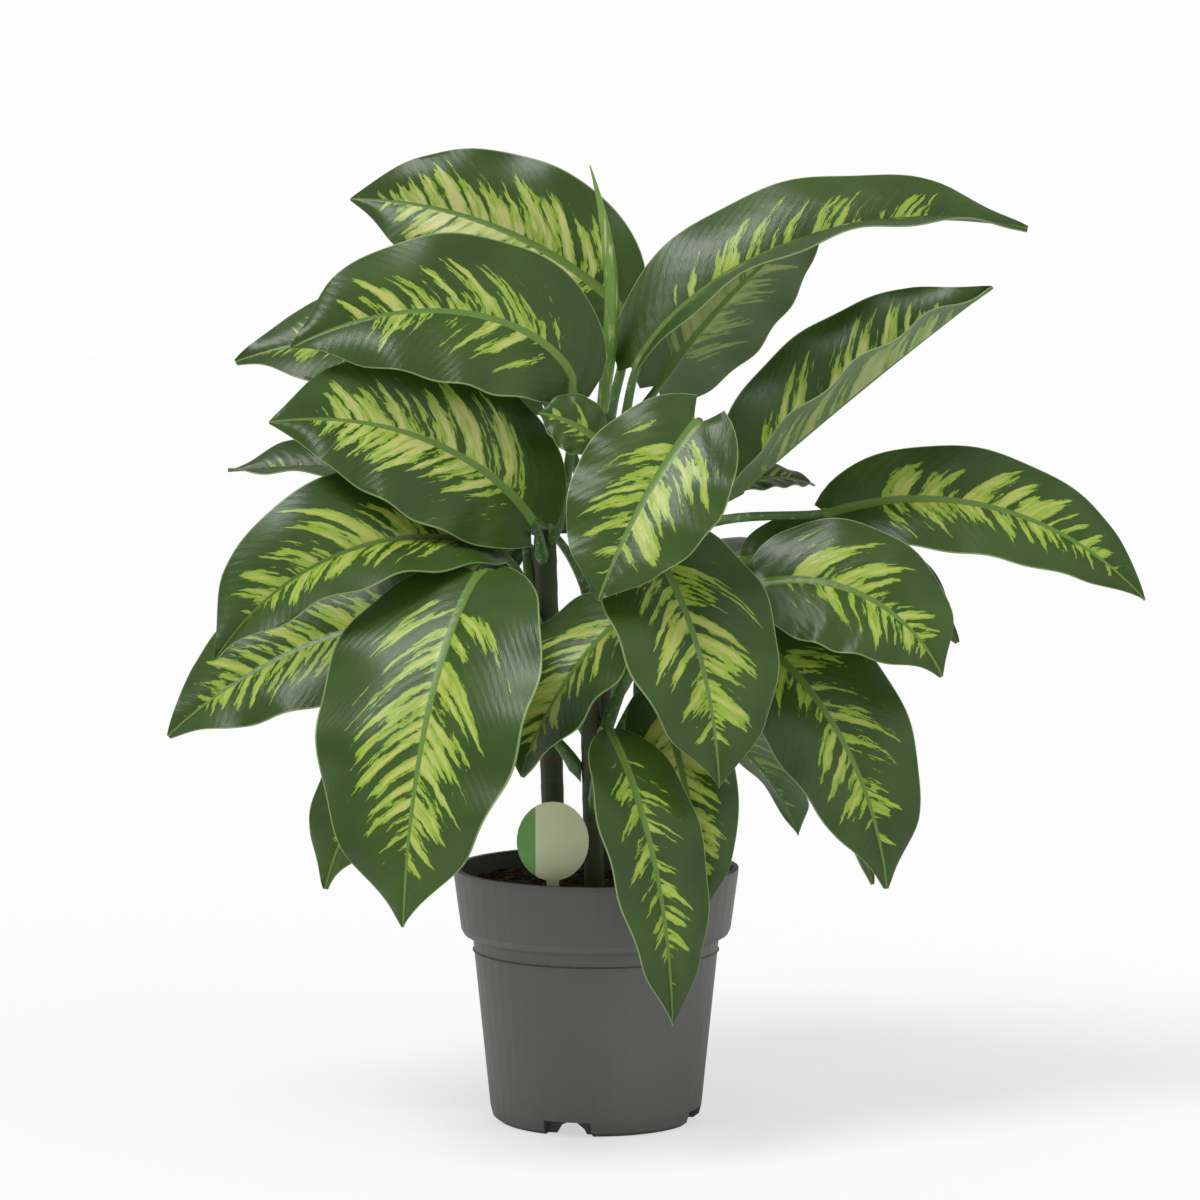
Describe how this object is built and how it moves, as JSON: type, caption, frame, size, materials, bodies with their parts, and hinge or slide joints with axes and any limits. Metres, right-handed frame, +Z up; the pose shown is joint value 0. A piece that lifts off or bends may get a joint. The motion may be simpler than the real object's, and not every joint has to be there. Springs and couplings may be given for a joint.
{
  "type": "potted dieffenbachia",
  "caption": "Dieffenbachia with broad dark green leaves feathered in yellow-green, rooted in soil in a round grey nursery pot.",
  "frame": {"origin": "middle of the pot's underside, on the ground", "axes": "+Z up, the pictured side towards -Y, +X to its right"},
  "size_m": [0.6577, 0.4938, 0.6479],
  "materials": {
    "pot": "matt, fine moulded skin",
    "soil": "loose fibrous potting mix",
    "label": "satin card-like sheet, plain",
    "cane": "satin green stem",
    "leaf": "satin leaf, feathered yellow-green markings",
    "young_leaf": "satin, pale green"
  },
  "bodies": {
    "root": {"pot": "pot", "soil": "soil", "plant_label": "label", "cane_1": "cane", "cane_2": "cane", "cane_3": "cane", "cane_4": "cane", "new_leaf": "young_leaf", "leaf_top_left": "leaf", "leaf_top_right_long": "leaf", "leaf_dark_left": "leaf", "leaf_left_back": "leaf", "leaf_left_bright": "leaf", "leaf_left_pointed": "leaf", "leaf_left_mid": "leaf", "leaf_lower_left": "leaf", "leaf_mid_left_back": "leaf", "leaf_front_big": "leaf", "leaf_low_left": "leaf", "leaf_centre_lower": "leaf", "leaf_front_centre": "leaf", "leaf_small_dark": "leaf", "leaf_centre_right": "leaf", "leaf_right_mid": "leaf", "leaf_right_behind": "leaf", "leaf_far_right": "leaf", "leaf_small_back": "leaf", "leaf_right_low": "leaf", "leaf_right_low_back": "leaf", "leaf_over_pot": "leaf", "leaf_over_pot_back": "leaf", "leaf_right_pale": "leaf", "leaf_right_folded": "leaf", "leaf_rear_high": "leaf", "leaf_rear_left": "leaf", "leaf_rear_right": "leaf", "leaf_rear_mid": "leaf", "leaf_rear_low_left": "leaf", "leaf_rear_low_right": "leaf"}
  },
  "joints": []
}
